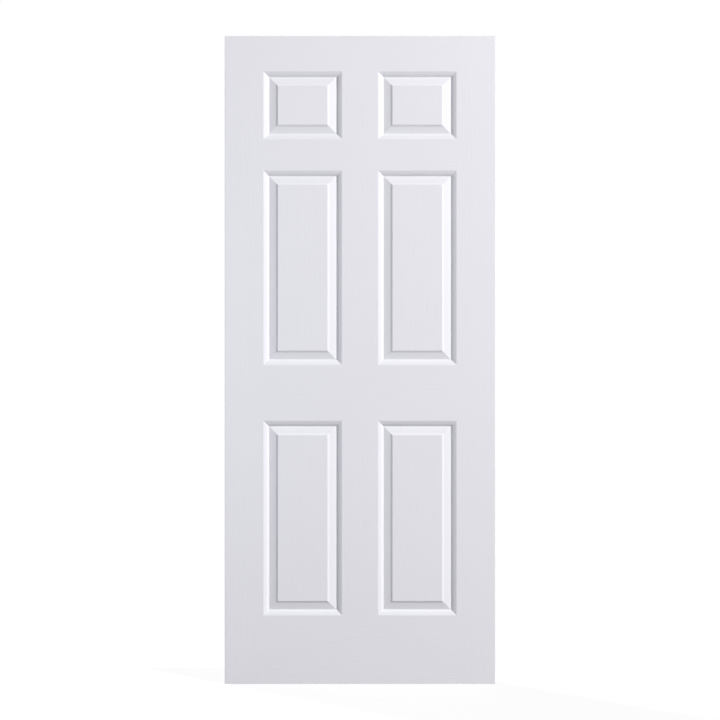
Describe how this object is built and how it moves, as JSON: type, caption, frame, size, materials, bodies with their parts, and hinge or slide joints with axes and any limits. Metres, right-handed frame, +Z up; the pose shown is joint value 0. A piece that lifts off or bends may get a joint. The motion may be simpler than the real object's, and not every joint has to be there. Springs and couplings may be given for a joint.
{
  "type": "steel panel door",
  "caption": "Raised-panel steel door leaf: pressed skins folded round a wood frame with a foam core, not yet bored for hinges or a lock.",
  "frame": {"origin": "middle of the bottom edge of the leaf, halfway through its thickness", "axes": "+Z up the leaf, -Y out of its front face, +X towards the lock edge (right as seen from the front)"},
  "size_m": [0.848, 0.0446, 2.032],
  "materials": {
    "skin_paint": "factory-primed white, satin, pressed wood grain",
    "stile_wood": "planed finger-jointed pine, bare",
    "rail_wood": "planed pine, bare",
    "rail_composite": "sawn wood-plastic composite",
    "foam": "rigid foam",
    "staple_steel": "galvanised wire"
  },
  "bodies": {
    "root": {"front_skin": "skin_paint", "back_skin": "skin_paint", "hinge_stile": "stile_wood", "lock_stile": "stile_wood", "top_rail": "rail_wood", "bottom_rail": "rail_composite", "lock_block": "rail_wood", "corner_staples": "staple_steel", "foam_core": "foam"}
  },
  "joints": []
}
